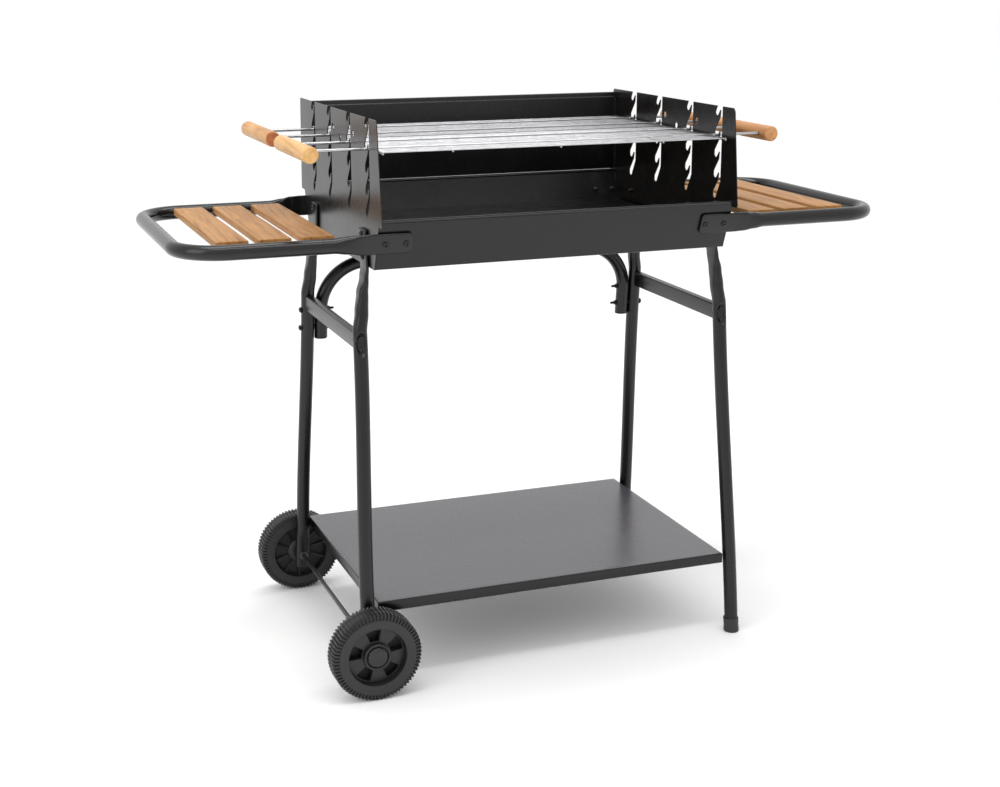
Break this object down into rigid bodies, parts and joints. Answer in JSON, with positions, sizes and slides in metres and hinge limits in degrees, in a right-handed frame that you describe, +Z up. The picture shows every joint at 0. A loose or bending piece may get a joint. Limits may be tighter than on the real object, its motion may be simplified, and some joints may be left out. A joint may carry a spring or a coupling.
{
  "type": "charcoal barbecue cart",
  "caption": "Wheeled charcoal barbecue cart with folded trough, notched end plates, height-adjustable wire grates, wooden side trays and a shelf.",
  "frame": {"origin": "on the floor under the centre of the fire trough", "axes": "+X along the trough away from the wheels, +Y towards the rear windshield, +Z up"},
  "size_m": [1.3024, 0.588, 0.976],
  "materials": {
    "powder_black": "satin powder coat",
    "chrome_wire": "bright chrome plated wire",
    "bright_steel": "zinc plated",
    "beech": "clear oiled",
    "slat_wood": "oiled hardwood",
    "wheel_plastic": "moulded",
    "rubber_black": "moulded",
    "bolt_black": "black zinc"
  },
  "bodies": {
    "cart": {"trough": "powder_black", "windshield": "powder_black", "shelf": "powder_black", "arch_brace": "powder_black", "axle": "bright_steel", "left_end_plate": "powder_black", "left_crossbar": "powder_black", "left_tray_frame": "powder_black", "left_front_leg": "powder_black", "left_front_slat_rail": "powder_black", "left_front_tray_bolt_1": "bolt_black", "left_front_leg_bolt_1": "bolt_black", "left_front_tray_bolt_2": "bolt_black", "left_front_leg_bolt_2": "bolt_black", "left_rear_leg": "powder_black", "left_rear_slat_rail": "powder_black", "left_rear_tray_bolt_1": "bolt_black", "left_rear_leg_bolt_1": "bolt_black", "left_rear_tray_bolt_2": "bolt_black", "left_rear_leg_bolt_2": "bolt_black", "left_slat_1": "slat_wood", "left_slat_2": "slat_wood", "left_slat_3": "slat_wood", "left_arch_bolt_1": "bolt_black", "left_arch_bolt_2": "bolt_black", "right_end_plate": "powder_black", "right_crossbar": "powder_black", "right_tray_frame": "powder_black", "right_front_leg": "powder_black", "right_front_slat_rail": "powder_black", "right_front_tray_bolt_1": "bolt_black", "right_front_leg_bolt_1": "bolt_black", "right_front_tray_bolt_2": "bolt_black", "right_front_leg_bolt_2": "bolt_black", "right_rear_leg": "powder_black", "right_rear_slat_rail": "powder_black", "right_rear_tray_bolt_1": "bolt_black", "right_rear_leg_bolt_1": "bolt_black", "right_rear_tray_bolt_2": "bolt_black", "right_rear_leg_bolt_2": "bolt_black", "right_slat_1": "slat_wood", "right_slat_2": "slat_wood", "right_slat_3": "slat_wood", "right_arch_bolt_1": "bolt_black", "right_arch_bolt_2": "bolt_black", "right_front_foot": "rubber_black", "right_rear_foot": "rubber_black"},
    "front_grate_set": {"front_grate": "chrome_wire", "front_grate_left_handle": "beech", "front_grate_right_handle": "beech"},
    "rear_grate_set": {"rear_grate": "chrome_wire", "rear_grate_left_handle": "beech", "rear_grate_right_handle": "beech"},
    "front_wheel_set": {"front_wheel": "wheel_plastic", "front_hub_cap": "wheel_plastic"},
    "rear_wheel_set": {"rear_wheel": "wheel_plastic", "rear_hub_cap": "wheel_plastic"},
    "charcoal_tray": {"charcoal_grate": "powder_black"}
  },
  "joints": [
    {"name": "front_grate_unhook", "type": "slide", "parent": "cart", "child": "front_grate_set", "axis": [0, -0.6766, 0.7363], "range_m": [0, 0.0225]},
    {"name": "rear_grate_unhook", "type": "slide", "parent": "cart", "child": "rear_grate_set", "axis": [0, -0.6766, 0.7363], "range_m": [0, 0.0225]},
    {"name": "charcoal_grate_lift", "type": "slide", "parent": "cart", "child": "charcoal_tray", "axis": [0, 0, 1], "range_m": [0, 0.12]},
    {"name": "front_wheel_spin", "type": "hinge", "parent": "cart", "child": "front_wheel_set", "pos_m": [-0.353, -0.271, 0.079], "axis": [0, 1, 0], "continuous": true},
    {"name": "rear_wheel_spin", "type": "hinge", "parent": "cart", "child": "rear_wheel_set", "pos_m": [-0.353, 0.271, 0.079], "axis": [0, 1, 0], "continuous": true}
  ]
}
